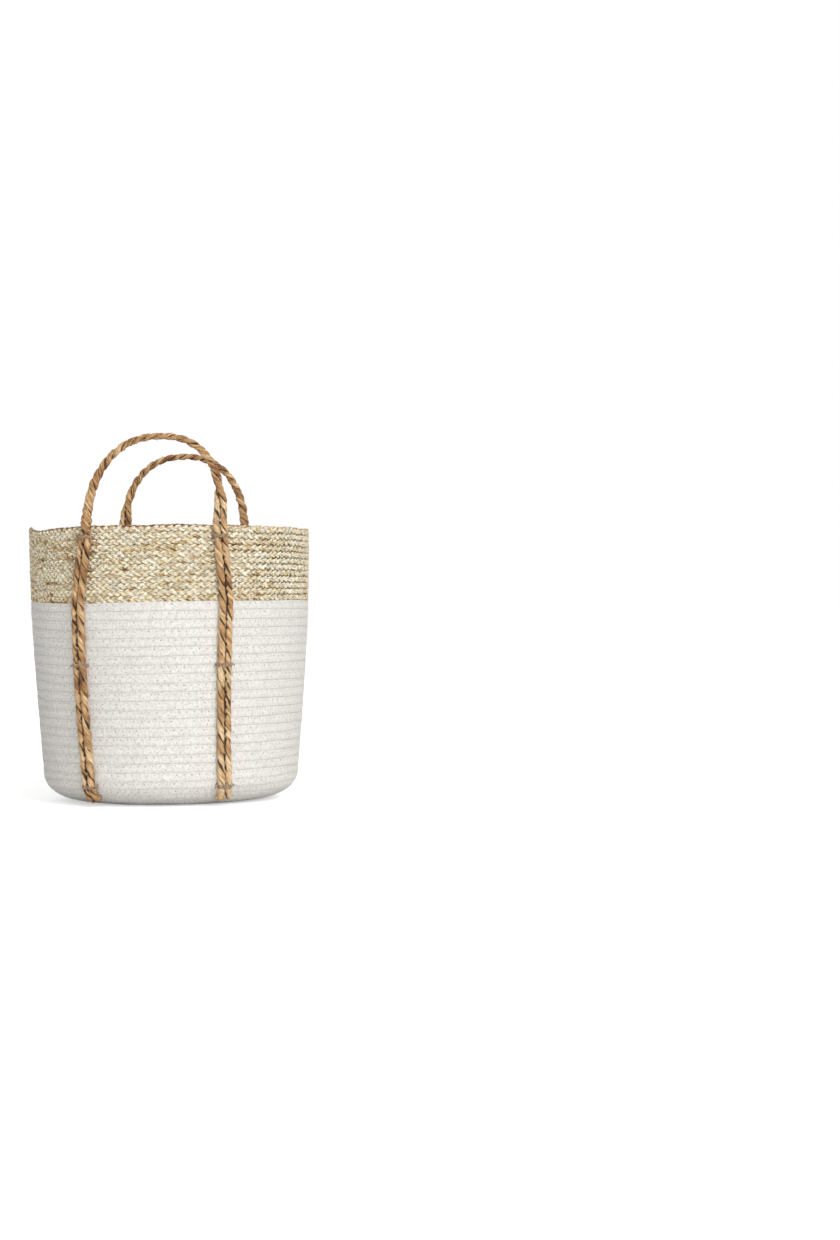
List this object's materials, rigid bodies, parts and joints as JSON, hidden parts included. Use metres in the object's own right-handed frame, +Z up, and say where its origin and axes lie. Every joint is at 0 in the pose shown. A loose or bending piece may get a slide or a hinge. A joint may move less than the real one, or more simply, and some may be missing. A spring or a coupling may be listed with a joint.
{
  "type": "laundry basket",
  "caption": "Round coiled cotton rope basket with a braided maize leaf band and twisted rope handles that stand over the rim and fold in or out.",
  "frame": {"origin": "centre of the flat underside, on the surface the basket stands on", "axes": "+Z up along the basket's axis, -Y towards the front handle, +X to the right seen from the front"},
  "size_m": [0.38, 0.38, 0.4868],
  "materials": {
    "cotton": "undyed cotton rope with a braided cover, coiled flat and sewn row to row",
    "maize": "three-strand braid of dried maize husk, straw and cream with brown flecks",
    "rope": "two-ply rope twisted from dried leaf, tan with dark creases",
    "twine": "thin leaf twine, tightly wrapped",
    "thread": "matt cotton sewing thread"
  },
  "bodies": {
    "basket": {"base_coil": "cotton", "wall_coil": "cotton", "maize_band": "maize", "rim_braid": "maize", "band_thread": "thread", "front_left_leg_outer": "rope", "front_left_leg_inner": "rope", "front_right_leg_outer": "rope", "front_right_leg_inner": "rope", "rear_left_leg_outer": "rope", "rear_left_leg_inner": "rope", "rear_right_leg_outer": "rope", "rear_right_leg_inner": "rope", "front_left_tie_low": "twine", "front_left_tie_middle": "twine", "front_left_tie_top": "twine", "front_right_tie_low": "twine", "front_right_tie_middle": "twine", "front_right_tie_top": "twine", "rear_left_tie_low": "twine", "rear_left_tie_middle": "twine", "rear_left_tie_top": "twine", "rear_right_tie_low": "twine", "rear_right_tie_middle": "twine", "rear_right_tie_top": "twine"},
    "front_grip": {"front_grip_strand_a": "rope", "front_grip_strand_b": "rope"},
    "rear_grip": {"rear_grip_strand_a": "rope", "rear_grip_strand_b": "rope"}
  },
  "joints": [
    {"name": "front_handle_fold", "type": "hinge", "parent": "basket", "child": "front_grip", "pos_m": [0, -0.17715, 0.3715], "axis": [1, 0, 0], "range_deg": [-80, 90], "stiffness_Nm_per_rad": 0.05},
    {"name": "rear_handle_fold", "type": "hinge", "parent": "basket", "child": "rear_grip", "pos_m": [0, 0.17715, 0.3715], "axis": [-1, 0, 0], "range_deg": [-80, 90], "stiffness_Nm_per_rad": 0.05}
  ]
}
